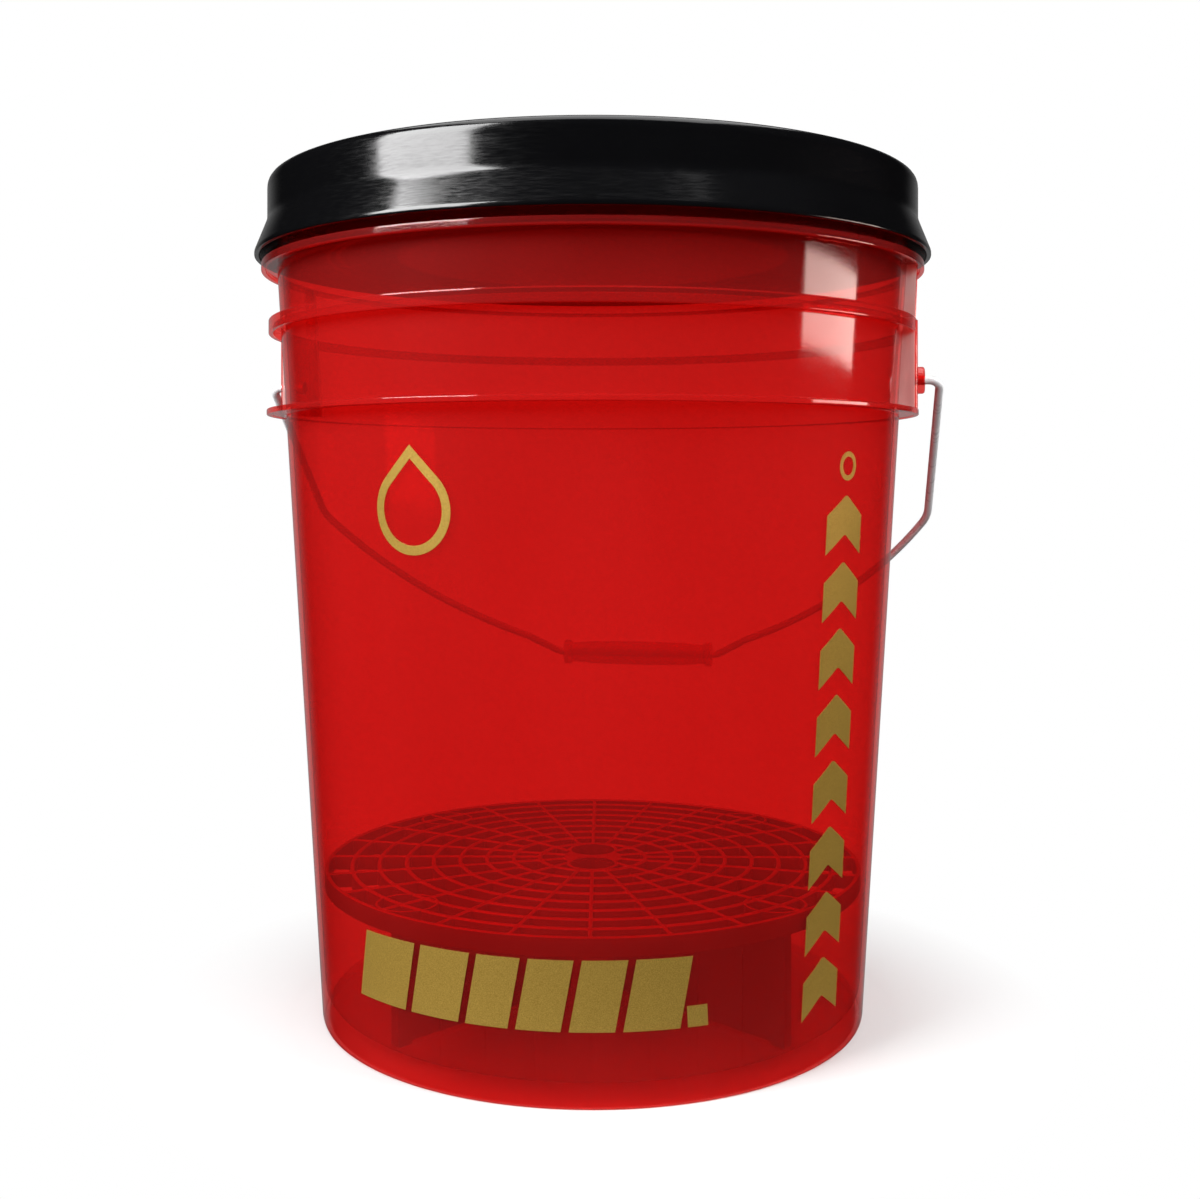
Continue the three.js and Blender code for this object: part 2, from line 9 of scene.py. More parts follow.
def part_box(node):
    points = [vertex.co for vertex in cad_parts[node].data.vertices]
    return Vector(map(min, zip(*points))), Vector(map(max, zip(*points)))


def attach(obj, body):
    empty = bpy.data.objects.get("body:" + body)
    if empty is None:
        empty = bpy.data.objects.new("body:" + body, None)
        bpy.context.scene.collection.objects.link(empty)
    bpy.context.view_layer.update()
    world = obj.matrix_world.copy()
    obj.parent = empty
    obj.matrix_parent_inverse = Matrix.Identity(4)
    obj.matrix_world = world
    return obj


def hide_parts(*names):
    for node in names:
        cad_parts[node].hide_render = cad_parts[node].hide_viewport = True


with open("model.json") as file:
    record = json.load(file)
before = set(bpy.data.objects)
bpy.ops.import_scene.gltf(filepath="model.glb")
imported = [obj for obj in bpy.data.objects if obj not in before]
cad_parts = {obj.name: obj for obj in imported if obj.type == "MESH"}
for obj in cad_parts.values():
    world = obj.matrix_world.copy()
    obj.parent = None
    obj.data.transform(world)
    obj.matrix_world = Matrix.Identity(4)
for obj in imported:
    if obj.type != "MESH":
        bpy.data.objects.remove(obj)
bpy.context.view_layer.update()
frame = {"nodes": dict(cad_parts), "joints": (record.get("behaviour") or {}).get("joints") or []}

MM = 0.001


def top(node):
    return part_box(node)[1].z / MM


def bottom(node):
    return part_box(node)[0].z / MM


def reach(node):
    """How far a node goes out along +X, in millimetres."""
    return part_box(node)[1].x / MM


# ---- sizes, from the frame where it gives them ----
SEGMENTS = 192                # round the pail and the lid
FINE = 48                     # round small round things
HOLD = 0.4                    # flat strip beside each rounded edge, which keeps the faces' shading flat
HOLD_ROOM = 2.2               # a side gets its strips when it is longer than this many of them
CORNER_SHARE = 0.45           # the most of a side that one corner's curve may take up
ON_AXIS = 1e-6                # a point with a smaller radius than this lies on the axis

BASE_R = 133                  # outside of the wall, carried down to the floor
TAPER = 0.0602                # growth of the wall's radius per millimetre of height
WALL = 2.2
FLOOR_TOP = 8
FLOOR_BOTTOM = 5.6
FOOT_WIDTH = 3.6
FOOT_HOLLOW = {"r": 60, "rise": 0.5}
NECK_R = 154.6
NECK_FROM = 360
RIM_TOP = top("pail")
RIM_BEAD = {"r": 156.6, "height": 3.6}
RINGS = [                     # lower, middle and top: radius, height of the top face, depth of the edge
    {"r": 159.7, "top": 293.2, "lip": 2.6},
    {"r": 158.8, "top": 335.9, "lip": 6.4},
    {"r": 162.3, "top": 363.1, "lip": 3.6},
]
FLANGE = 2.2

PIVOT_Z = next(j for j in frame["joints"] if j["name"] == "bail_swing")["pos_m"][2] / MM
EAR = {"width": 36, "face": 158.8, "plate": 2.2, "corner": 2.4}
HUB = {"r": 6.5, "end": reach("pail"), "bore": 2.35}

WIRE_R = 2
WIRE_SIDES = 24
WIRE_HEAD = {"r": 3.2, "length": 2.6, "soft": 0.6}
BAIL = {
    "out": 169.6,             # how far out the wire turns down
    "corner_r": 5,            # of the bend from the hub's bore into the leg
    "knee": (166.8, 93),      # along X, and down from the pivot
    "knee_r": 24,
    "shoulder_turn": 28,      # degrees from straight down where the sweep starts
    "sweep_turn": 61,         # and where it ends
    "kink": (66, 198.5),
    "kink_r": 12,
    "kink_turn": 40,
    "grip_half": 45,
    "depth": 213.2,           # from the pivot to the grip's axis
}
GRIP = {"bore": 2.35, "end": 7.1, "neck": 5.4, "body": 6.4, "middle": 6.9, "flange": 3, "ridge": 0.22}

LIP_R = reach("lid_ring")
LIP_Z = 366.5
LID_SIDE_R = 159.4
LID_TOP = top("lid_ring")
LID_WALL = 2.2
LID_WAIST = {"low": 380.4, "high": 383.6, "inner_low": 379.4, "inner_high": 383.2}
COLLAR = {"r": 129.6, "bottom": 367.5, "ledge": 396, "ledge_end": 147.2}
SKIRT = {"r": 127, "bottom": bottom("screw_lid")}
DISC = {"r": 97.6, "z": 369, "thick": 2.4}
BOWL = {"r": 104.6, "under": 394, "over": 396.6}
LID_FLANGE = {"r": 146.4, "bottom": 398.3, "top": top("screw_lid"), "notches": 24, "notch_depth": 0.9}
LID_RIB = {"half": 2, "top": 391, "hub_r": 18, "hub_top_r": 16}
THREAD = {"lead": 12, "bead": 1.7, "lid_start": 374, "ring_start": 380, "share": 0.97, "steps": 160,
          "sides": 10, "fade_steps": 5}

GUARD = {"r": 132.2, "top": top("grit_guard"), "web": 7, "skirt": 8.5, "rib": 2, "spoke": 1.6, "turn": 10}
GUARD_RINGS = 10
SPOKES = 24
VANE = {"thick": 2, "end": 123, "foot": bottom("grit_guard"), "window_r": 16, "window_top": 27}
VANE_POST = {"width": 8, "thick": 4.8}
VANE_RIB = {"at": (38, 69, 96), "width": 2.4, "thick": 3.6}
HUB_HOLE = {"r": 11, "rib": 1.8, "offset": 13.3}
FINGER = {"r": 13, "rib": 1.2, "at": 116}

FILM = {"from": 0.08, "to": 0.24, "strip": 1.6}
EMBLEM = {"centre": -20, "z": 247, "width": 38, "height": 46, "stroke": 4}
TREADS = {"from": -38.5, "low": 33, "high": 63, "slant": 7, "gap": 3.4, "widths": (30, 24, 19, 19, 19, 24)}
TREAD_DOT = 9
CHEVRONS = {"centre": 58.5, "low": 24, "count": 8, "pitch": 29, "band": 17, "width": 27, "rise": 9}
MARK = {"z": 265.5, "r": 6.3, "stroke": 2.2}

VIEW_TURN = math.radians(10.5)
CAMERA = {"distance": 0.735, "height": 0.2583, "lens": 43.95, "shift": (0.0061, -0.0975)}
# paper is set a little darker than the white backdrop: a faint painted shade round the base, besides the real
# shadows
FLOOR = {"radius": 12000, "paper": 0.66, "fade": (0.148, 0.23)}
BACKDROP = {"from": 0.7, "to": 0.96, "dark": 0.012, "mirrored": 0.22}
LIGHTS = [                    # azimuth from the camera's own, positive towards its right
    {"name": "softbox", "azimuth": -55, "elevation": 26, "size": (0.9, 0.9), "power": 40, "aim": 0.37},
    {"name": "fill", "azimuth": 25, "elevation": 20, "size": (1.1, 0.5), "power": 11, "mirrored": False},
    {"name": "side", "azimuth": 66, "elevation": 40, "size": (0.6, 0.6), "power": 16, "mirrored": False},
    {"name": "window", "azimuth": 87, "elevation": 0, "size": (0.7, 0.13), "power": 2.8, "aim": 0.39,
     "colour": (1, 0.8, 0.72)},
    {"name": "overhead", "azimuth": 0, "elevation": 89, "size": (1.8, 1.8), "power": 27, "distance": 1.6},
]

# Each surface drifts from its first colour to its second.
CLEAR_RED = ((0.915, 0.27, 0.26), (0.935, 0.3, 0.28))
GRIP_RED = ((0.8, 0.014, 0.008), (1.0, 0.022, 0.012))
GUARD_RED = ((0.08, 0.002, 0.001), (0.12, 0.004, 0.002))
# a lighter copy of the guard's red, painted on the ribs' upward faces as a highlight
RIB_HIGHLIGHT_RED = ((0.36, 0.014, 0.005), (0.46, 0.022, 0.008))
LID_BLACK = ((0.0015, 0.0015, 0.0018), (0.003, 0.003, 0.0034))
ZINC = ((0.86, 0.88, 0.9), (0.96, 0.97, 0.98))
RUBBER = ((0.012, 0.012, 0.012), (0.03, 0.03, 0.03))
GOLD = ((0.42, 0.255, 0.04), (0.64, 0.41, 0.084))
GRIP_GLOW = (1.0, 0.3, 0.27)
# milk is the share of haze in the clear red, pale the haze's colour, waves the scale of its streaks.
WALL_FINISH = {"milk": (0.18, 0.22), "pale": (0.82, 0.035, 0.032), "ripple": 0.12, "waves": 9}
EAR_FINISH = {"milk": (0.55, 1.0), "pale": (1.0, 0.72, 0.68), "ripple": 0.9, "waves": 75}


def wall_r(z):
    return BASE_R + TAPER * z


# ---- mesh helpers ----
def as_object(name, bm, smooth=32):
    """A bmesh in millimetres becomes an object in metres, smooth except at its sharp edges."""
    bmesh.ops.scale(bm, vec=(MM, MM, MM), verts=bm.verts)
    bmesh.ops.recalc_face_normals(bm, faces=bm.faces)
    mesh = bpy.data.meshes.new(name)
    bm.to_mesh(mesh)
    bm.free()
    obj = bpy.data.objects.new(name, mesh)
    bpy.context.scene.collection.objects.link(obj)
    smoothed(obj, smooth)
    return obj


def smoothed(obj, angle=32):
    obj.data.polygons.foreach_set("use_smooth", [True] * len(obj.data.polygons))
    obj.data.set_sharp_from_angle(angle=math.radians(angle))


def rounded(outline, radius=0.5, special=None):
    """A closed outline with its corners turned into short curves; special gives some their own radius."""
    special = special or {}
    made = []
    for i, corner in enumerate(outline):
        here = Vector(corner)
        before = Vector(outline[i - 1]) - here
        after = Vector(outline[(i + 1) % len(outline)]) - here
        r = min(special.get(i, radius), before.length * CORNER_SHARE, after.length * CORNER_SHARE)
        if here.x < ON_AXIS or r < 1e-3 or before.angle(after) > math.radians(170):
            made.append((here.x, here.y))
            continue
        a = here + before.normalized() * r
        b = here + after.normalized() * r
        hold = r + HOLD
        if before.length > HOLD_ROOM * hold:
            p = here + before.normalized() * hold
            made.append((p.x, p.y))
        steps = 6 if r > 2 else 3
        for k in range(steps + 1):
            t = k / steps
            p = a * (1 - t) ** 2 + here * 2 * t * (1 - t) + b * t ** 2
            made.append((p.x, p.y))
        if after.length > HOLD_ROOM * hold:
            p = here + after.normalized() * hold
            made.append((p.x, p.y))
    return made


def revolve(bm, outline, segments=SEGMENTS, wobble=None):
    """A solid of revolution about Z. wobble(angle, radius, z) may return another radius."""
    columns = []
    for k in range(segments):
        a = 2 * math.pi * k / segments
        columns.append([
            None if r < ON_AXIS else bm.verts.new((
                (wobble(a, r, z) if wobble else r) * math.cos(a),
                (wobble(a, r, z) if wobble else r) * math.sin(a), z))
            for r, z in outline])
    poles = {i: bm.verts.new((0, 0, z)) for i, (r, z) in enumerate(outline) if r < ON_AXIS}
    for k in range(segments):
        here, there = columns[k], columns[(k + 1) % segments]
        for i in range(len(outline)):
            n = (i + 1) % len(outline)
            corners = [here[i] or poles[i], here[n] or poles[n], there[n] or poles[n], there[i] or poles[i]]
            corners = list(dict.fromkeys(corners))
            if len(corners) > 2:
                bm.faces.new(corners)


def loft(bm, loops, closed=False):
    """Joins a row of equal loops of points into one closed body."""
    rows = [[bm.verts.new(p) for p in loop] for loop in loops]
    count = len(loops[0])
    spans = len(rows) if closed else len(rows) - 1
    for i in range(spans):
        here, there = rows[i], rows[(i + 1) % len(rows)]
        for k in range(count):
            n = (k + 1) % count
            bm.faces.new((here[k], here[n], there[n], there[k]))
    if not closed:
        bm.faces.new(rows[0][::-1])
        bm.faces.new(rows[-1])


def solid(name, build, *args):
    """An object made by calling build(bm, *args) on an empty bmesh."""
    bm = bmesh.new()
    build(bm, *args)
    return as_object(name, bm)


def combine(base, others, operation):
    """Joins other closed objects to the base, or cuts them from it, and removes them."""
    for other in others:
        modifier = base.modifiers.new("combine", "BOOLEAN")
        modifier.operation = operation
        modifier.solver = "MANIFOLD"
        modifier.object = other
    graph = bpy.context.evaluated_depsgraph_get()
    mesh = bpy.data.meshes.new_from_object(base.evaluated_get(graph))
    base.modifiers.clear()
    base.data = mesh
    for other in others:
        bpy.data.objects.remove(other)
    smoothed(base)
    return base


def turn_z(bm, angle):
    bmesh.ops.rotate(bm, verts=bm.verts, cent=(0, 0, 0), matrix=Matrix.Rotation(angle, 3, "Z"))


def bar_along_x(bm, r, x0, x1, soft=0.0):
    """A round bar along X at the pivot's height; soft rounds its far end."""
    loops = [(x0, r), (x1 - math.copysign(soft, x1 - x0), r)]
    if soft:
        loops += [(x1 - math.copysign(soft * 0.3, x1 - x0), r - soft * 0.3), (x1, r - soft)]
    angles = [2 * math.pi * k / FINE for k in range(FINE)]
    rings = [(x, [(radius * math.cos(a), radius * math.sin(a)) for a in angles]) for x, radius in loops]
    loft(bm, [[(x, y, PIVOT_Z + z) for y, z in ring] for x, ring in rings])


# ---- the pail ----
def ring_outline(ring):
    r, high, lip = ring["r"], ring["top"], ring["lip"]
    return [
        (wall_r(high - FLANGE), high - FLANGE),
        (r - FLANGE, high - FLANGE),
        (r - FLANGE, high - lip),
        (r, high - lip),
        (r, high),
        (wall_r(high), high),
    ]


def pail_outline():
    points = [(BASE_R - FOOT_WIDTH, 0), (BASE_R - 0.4, 0), (wall_r(2.4), 2.4)]
    for ring in RINGS:
        points += ring_outline(ring)
    points += [
        (NECK_R, RINGS[2]["top"] + 0.2),
        (NECK_R, RIM_TOP - RIM_BEAD["height"] - 1.6),
        (RIM_BEAD["r"], RIM_TOP - RIM_BEAD["height"]),
        (RIM_BEAD["r"], RIM_TOP),
        (NECK_R - WALL, RIM_TOP),
        (NECK_R - WALL, NECK_FROM),
        (wall_r(FLOOR_TOP) - WALL, FLOOR_TOP),
        (FOOT_HOLLOW["r"], FLOOR_TOP),
        (FOOT_HOLLOW["r"] - 1, FLOOR_TOP + FOOT_HOLLOW["rise"]),
        (0, FLOOR_TOP + FOOT_HOLLOW["rise"]),
        (0, FLOOR_BOTTOM),
        (BASE_R - FOOT_WIDTH, FLOOR_BOTTOM),
    ]
    floor_corner = len(points) - 6      # where the wall meets the floor inside
    return rounded(points, 0.45, {floor_corner: 10, 1: 1.6, floor_corner - 3: 0.9})


def ear_inner(y, z):
    """Where an ear's plate meets the middle of the pail's wall."""
    return math.sqrt(wall_r(z) ** 2 - y ** 2) - WALL / 2


def ear_box(bm):
    """The boxed part of an ear between the lower and the middle ring: three walls in one."""
    half, face, plate = EAR["width"] / 2, EAR["face"], EAR["plate"]
    steps = [k * math.pi / 8 for k in range(5)]

    def corners(inset, r):
        """The two rounded corners of the box's plan, moved in by inset, from -Y to +Y."""
        x, y = face - inset - r, half - inset - r
        first = [(x + r * math.sin(a), -y - r * math.cos(a)) for a in steps]
        return first + [(x + r * math.cos(a), y + r * math.sin(a)) for a in steps]

    def plan(z):
        outer = corners(0, EAR["corner"])
        inner = corners(plate, EAR["corner"] - plate * 0.6)[::-1]
        start = [(ear_inner(half, z), -half)]
        middle = [(ear_inner(half, z), half), (ear_inner(half - plate, z), half - plate)]
        end = [(ear_inner(half - plate, z), -half + plate)]
        return [(x, y, z) for x, y in start + outer + middle + inner + end]

    loft(bm, [plan(RINGS[0]["top"] - 1), plan(RINGS[1]["top"] - 1)])


def ear_gussets(bm, side):
    """One of the two upright fins between the middle and the top ring."""
    y = side * (EAR["width"] - EAR["plate"]) / 2
    loops = []
    for z, x in ((RINGS[1]["top"] - 1, EAR["face"] - 1), (RINGS[2]["top"] - 1, EAR["face"])):
        low, high = y - EAR["plate"] / 2, y + EAR["plate"] / 2
        loops.append([(ear_inner(y, z), low, z), (x - 0.5, low, z), (x, low + 0.5, z),
                      (x, high - 0.5, z), (x - 0.5, high, z), (ear_inner(y, z), high, z)])
    loft(bm, loops)


def turned_copy(bm, build, angle, *args):
    build(bm, *args)
    turn_z(bm, angle)


def pail():
    body = solid("bucket_pail", revolve, pail_outline())
    added, cut = [], []
    for angle in (0, math.pi):
        added.append(solid("ear", turned_copy, ear_box, angle))
        added += [solid("gusset", turned_copy, ear_gussets, angle, s) for s in (-1, 1)]
        hub = (HUB["r"], EAR["face"] - 1, HUB["end"], 1.2)
        bore = (HUB["bore"], wall_r(PIVOT_Z) + 0.4, HUB["end"] + 1)
        added.append(solid("hub", turned_copy, bar_along_x, angle, *hub))
        cut.append(solid("bore", turned_copy, bar_along_x, angle, *bore))
    combine(body, added, "UNION")
    return combine(body, cut, "DIFFERENCE")


# ---- the bail ----
def bend(start, heading0, heading1, radius, steps):
    """Points of a circular bend in the bail's plane. A heading is the angle from straight down."""
    points = []
    u, v = start
    for i in range(steps):
        step = math.radians(heading1 - heading0) / steps
        middle = math.radians(heading0) + step * (i + 0.5)
        chord = 2 * radius * math.sin(abs(step) / 2)
        u -= chord * math.sin(middle)
        v += chord * math.cos(middle)
        points.append((u, v))
    return points


def half_bail():
    """Out of the hub, down the leg, round the sweep and over the kink to the grip."""
    knee_u, knee_v = BAIL["knee"]
    lean = math.degrees(math.atan2(BAIL["out"] - knee_u, knee_v))
    turn_r = BAIL["corner_r"]
    start = (BAIL["out"] - turn_r * math.cos(math.radians(lean)), 0)
    corner = bend(start, -90, lean, turn_r, 14)
    knee = bend((knee_u, knee_v - 5), lean, BAIL["shoulder_turn"], BAIL["knee_r"], 10)
    chord = math.hypot(knee[-1][0] - BAIL["kink"][0], BAIL["kink"][1] - knee[-1][1])
    sweep_turn = BAIL["sweep_turn"] - BAIL["shoulder_turn"]
    sweep_r = chord / (2 * math.sin(math.radians(sweep_turn) / 2))
    sweep = bend(knee[-1], BAIL["shoulder_turn"], BAIL["sweep_turn"], sweep_r, 36)
    dip = bend(sweep[-1], BAIL["sweep_turn"], BAIL["kink_turn"], BAIL["kink_r"], 6)
    rise = (BAIL["grip_half"] + 4, BAIL["depth"] - 1.2)
    between = [tuple(dip[-1][i] + (rise[i] - dip[-1][i]) * t for i in (0, 1)) for t in (1 / 3, 2 / 3)]
    head = [(BAIL["out"] - turn_r - 10, 0), start]
    return head + corner + knee + sweep + dip + between + [rise, (BAIL["grip_half"] + 1, BAIL["depth"])]


GRIP_JOINT = next(j for j in frame["joints"] if j["name"] == "grip_spin")["pos_m"]
BAIL_TILT = math.asin(GRIP_JOINT[1] / MM / BAIL["depth"])


def in_bail_plane(u, v):
    return Vector((u, v * math.sin(BAIL_TILT), PIVOT_Z - v * math.cos(BAIL_TILT)))


def wire(bm):
    half = half_bail()
    left = [in_bail_plane(-u, v) for u, v in half]
    right = [in_bail_plane(u, v) for u, v in reversed(half)]
    inside = wall_r(PIVOT_Z) + 2
    left[0].x, right[-1].x = -inside, inside
    middle = [in_bail_plane(k * BAIL["grip_half"] / 2, BAIL["depth"]) for k in (-1, 0, 1)]
    path = left + middle + right
    normal = Vector((0, math.cos(BAIL_TILT), math.sin(BAIL_TILT)))
    loops = []
    for i, point in enumerate(path):
        along = path[min(i + 1, len(path) - 1)] - path[max(i - 1, 0)]
        side = along.cross(normal).normalized()
        angles = [2 * math.pi * k / WIRE_SIDES for k in range(WIRE_SIDES)]
        loops.append([point + side * WIRE_R * math.cos(a) + normal * WIRE_R * math.sin(a) for a in angles])
    loft(bm, loops)


def bail_wire():
    body = solid("bucket_bail_wire", wire)
    inside = wall_r(PIVOT_Z) + 1
    outside = inside + WIRE_HEAD["length"]
    r, soft = WIRE_HEAD["r"], WIRE_HEAD["soft"]
    heads = [solid("head", bar_along_x, r, s * inside, s * outside, soft) for s in (-1, 1)]
    return combine(body, heads, "UNION")


def bail_grip():
    half = BAIL["grip_half"] - 0.5
    bore, end = GRIP["bore"], GRIP["end"]
    waist = [(GRIP["neck"], GRIP["flange"] + 2.2), (GRIP["body"], half * 0.38)]
    left = [(bore, -half), (end, -half), (end, -half + GRIP["flange"])] + [(r, -half + z) for r, z in waist]
    outline = left + [(GRIP["middle"], 0)] + [(r, -z) for r, z in reversed(left)]
    bm = bmesh.new()
    revolve(bm, rounded(outline, 0.8, {4: 12, 5: 20, 6: 12}), 64, grip_section)
    bmesh.ops.rotate(bm, verts=bm.verts, cent=(0, 0, 0), matrix=Matrix.Rotation(math.pi / 2, 3, "Y"))
    bmesh.ops.translate(bm, verts=bm.verts, vec=Vector(GRIP_JOINT) / MM)
    return as_object("bucket_bail_grip", bm)


def grip_section(angle, r, z):
    """The grip's mould line: a fine ridge along each side."""
    if r < GRIP["neck"] - 0.5:
        return r
    ridge = max(0.0, 1 - abs(math.sin(angle)) / 0.06)
    return min(r + GRIP["ridge"] * ridge, GRIP["end"])


# ---- the lid ----
def thread(bm, r, start_z):
    """One turn of a round thread bead, thinner at its two ends."""
    sides, fade_steps = THREAD["sides"], THREAD["fade_steps"]
    loops = []
    for i in range(THREAD["steps"] + 1):
        share = i / THREAD["steps"] * THREAD["share"]
        angle = 2 * math.pi * share
        fade = min(1, i / fade_steps, (THREAD["steps"] - i) / fade_steps) * 0.75 + 0.25
        z = start_z + THREAD["lead"] * share
        loop = []
        for k in range(sides):
            a = 2 * math.pi * k / sides
            out = r + THREAD["bead"] * fade * math.cos(a)
            up = THREAD["bead"] * fade * math.sin(a)
            loop.append((out * math.cos(angle), out * math.sin(angle), z + up))
        loops.append(loop)
    loft(bm, loops)


def lid_ring_outline():
    inner = LID_SIDE_R - LID_WALL
    bead = RIM_BEAD["r"]
    points = [
        (LIP_R, LIP_Z),
        (LIP_R, LIP_Z + 1.6),
        (LID_SIDE_R + 1.2, LID_WAIST["low"]),
        (LID_SIDE_R, LID_WAIST["high"]),
        (LID_SIDE_R, LID_TOP),
        (COLLAR["ledge_end"] + 1.2, LID_TOP),
        (COLLAR["ledge_end"], COLLAR["ledge"]),
        (COLLAR["r"], COLLAR["ledge"]),
        (COLLAR["r"], COLLAR["bottom"]),
        (COLLAR["r"] + LID_WALL, COLLAR["bottom"]),
        (COLLAR["r"] + LID_WALL, COLLAR["ledge"] - LID_WALL),
        (bead - 5.4, COLLAR["ledge"] - LID_WALL),
        (bead - 5.4, RIM_TOP + 3.3),
        (bead - 3, RIM_TOP + 3.3),
        (bead - 3, LID_TOP - LID_WALL),
        (inner - 1.4, LID_TOP - LID_WALL),
        (inner, LID_TOP - LID_WALL - 1.6),
        (inner, LID_WAIST["inner_high"]),
        (inner + 1, LID_WAIST["inner_low"]),
        (LIP_R - 2.1, LIP_Z + 0.8),
        (LIP_R - 2.1, LIP_Z),
    ]
    return rounded(points, 0.5, {4: 5.2, 5: 1.2, 2: 2.5, 3: 2.5})


def lid_ring():
    body = solid("bucket_lid_ring", revolve, lid_ring_outline())
    return combine(body, [solid("bead", thread, COLLAR["r"] - 0.1, THREAD["ring_start"])], "UNION")


def screw_lid_outline():
    bowl = BOWL["r"]
    skirt = SKIRT["r"]
    flange = LID_FLANGE
    points = [
        (0, DISC["z"]),
        (DISC["r"], DISC["z"]),
        (bowl - LID_WALL, BOWL["under"] - 2),
        (bowl, BOWL["under"]),
        (skirt - LID_WALL, BOWL["under"]),
        (skirt - LID_WALL, SKIRT["bottom"]),
        (skirt, SKIRT["bottom"]),
        (skirt, flange["bottom"]),
        (flange["r"], flange["bottom"]),
        (flange["r"], flange["top"]),
        (skirt + 2, flange["top"]),
        (skirt - 0.5, BOWL["over"]),
        (bowl + 2, BOWL["over"]),
        (DISC["r"], DISC["z"] + DISC["thick"]),
        (0, DISC["z"] + DISC["thick"]),
    ]
    return rounded(points, 0.5, {1: 2, 9: 1.6, 10: 3, 11: 2.4, 12: 2, 13: 5})


def knurled(angle, r, z):
    """Shallow hand notches round the flange's edge."""
    if r < LID_FLANGE["r"] - 2 or z < LID_FLANGE["bottom"] + 1:
        return r
    wave = max(0.0, math.cos(angle * LID_FLANGE["notches"])) ** 2
    return r - LID_FLANGE["notch_depth"] * wave


def lid_rib(bm, angle):
    """One of the crossed ribs in the bowl, with a rounded top edge."""
    end, half = DISC["r"] - 5, LID_RIB["half"]
    low, high = DISC["z"] + 1, LID_RIB["top"]
    section = [(-half, low), (half, low), (half * 0.7, high - 0.8), (half * 0.35, high),
               (-half * 0.35, high), (-half * 0.7, high - 0.8)]
    loft(bm, [[(x, y, z) for y, z in section] for x in (-end, end)])
    turn_z(bm, angle)


def screw_lid():
    body = solid("bucket_screw_lid", revolve, screw_lid_outline(), SEGMENTS * 2, knurled)
    low, high = DISC["z"] + 1, LID_RIB["top"] - 1.5
    hub = rounded([(0, low), (LID_RIB["hub_r"], low), (LID_RIB["hub_top_r"], high), (0, high)], 1.5)
    parts = [solid("rib", lid_rib, 0), solid("rib", lid_rib, math.pi / 2), solid("hub", revolve, hub, FINE)]
    return combine(body, parts + [solid("bead", thread, SKIRT["r"] + 0.1, THREAD["lid_start"])], "UNION")


# ---- the grit guard ----
def guard_ring_r(k):
    return k * GUARD["r"] / GUARD_RINGS


def spoke_reaches(j, k):
    """The spokes stop short of the hub at different rings, so that the cells stay of a size."""
    if k == 1:
        return j % 2 == 1
    return k > 2 or j % 6 == 0 or j % 2 == 1


def cell_plan(k, start, end, grow):
    """The outline of one open cell between rings k and k + 1, moved out by grow."""
    last = k + 1 == GUARD_RINGS
    low = guard_ring_r(k) + GUARD["rib"] / 2 - grow
    high = guard_ring_r(k + 1) - (GUARD["rib"] if last else GUARD["rib"] / 2) + grow
    half = GUARD["spoke"] / 2 - grow
    corner = 0.9
    steps = max(2, round((end - start) * guard_ring_r(k + 1) / 3.5))

    def arc(r):
        a = start + math.asin((half + corner) / r)
        b = end - math.asin((half + corner) / r)
        return [(r * math.cos(a + (b - a) * i / steps), r * math.sin(a + (b - a) * i / steps))
                for i in range(steps + 1)]

    def flank(angle, side, r):
        a = angle + side * math.asin(half / r)
        return (r * math.cos(a), r * math.sin(a))

    outer = arc(high)
    inner = arc(low)
    return (inner[::-1] + [flank(start, 1, low + corner), flank(start, 1, high - corner)]
            + outer + [flank(end, -1, high - corner), flank(end, -1, low + corner)])


def cell_cutters(bm):
    """One closed cutter for each cell, flared at its top so that the ribs get rounded edges."""
    high = GUARD["top"]
    below = (high - GUARD["web"] - 1, -0.05)
    levels = [below, (high - 0.7, 0), (high - 0.25, 0.16), (high, 0.45), (high + 1, 0.45)]
    pitch = 2 * math.pi / SPOKES
    for k in range(1, GUARD_RINGS):
        here = [j for j in range(SPOKES) if spoke_reaches(j, k)]
        for i, j in enumerate(here):
            end = here[(i + 1) % len(here)] + (SPOKES if i + 1 == len(here) else 0)
            plans = [(z, cell_plan(k, j * pitch, end * pitch, grow)) for z, grow in levels]
            loft(bm, [[(x, y, z) for x, y in plan] for z, plan in plans])


def collar_ring(bm, r, rib, low, x, y):
    """An upright round rib with a softened top edge."""
    high = GUARD["top"]
    outline = rounded([(r, low), (r + rib, low), (r + rib, high), (r, high)], 0.5)
    revolve(bm, outline, FINE)
    bmesh.ops.translate(bm, verts=bm.verts, vec=(x, y, 0))


def hub_hole_cutter(bm, y):
    r = HUB_HOLE["r"] + HUB_HOLE["rib"] / 2
    low, high = GUARD["top"] - 10, GUARD["top"] + 2
    revolve(bm, [(0, low), (r, low), (r, high), (0, high)], FINE)
    bmesh.ops.translate(bm, verts=bm.verts, vec=(0, y, 0))


def upright(bm, outline, thick, angle):
    """A plate standing in a plane through the axis: outline is (radius, height)."""
    loft(bm, [[(x, y, z) for x, z in outline] for y in (-thick / 2, thick / 2)])
    turn_z(bm, angle)


def vane_outlines():
    low, high, end = VANE["foot"], GUARD["top"] - 1, VANE["end"]
    window_r, window_top = VANE["window_r"], VANE["window_top"]
    plate = [(0, window_top), (window_r - 3, window_top), (window_r, window_top - 3), (window_r, low + 1),
             (end, low + 1), (end, high), (0, high)]
    start = end - VANE_POST["width"]
    post = [(start, low + 0.6), (start + 0.6, low), (end - 0.6, low), (end, low + 0.6),
            (end, high - 2), (start, high - 2)]
    spans = [(at, at + VANE_RIB["width"]) for at in VANE_RIB["at"]]
    ribs = [[(near, low + 1), (far, low + 1), (far, high - 2), (near, high - 2)] for near, far in spans]
    return [(plate, VANE["thick"]), (post, VANE_POST["thick"])] + [(rib, VANE_RIB["thick"]) for rib in ribs]


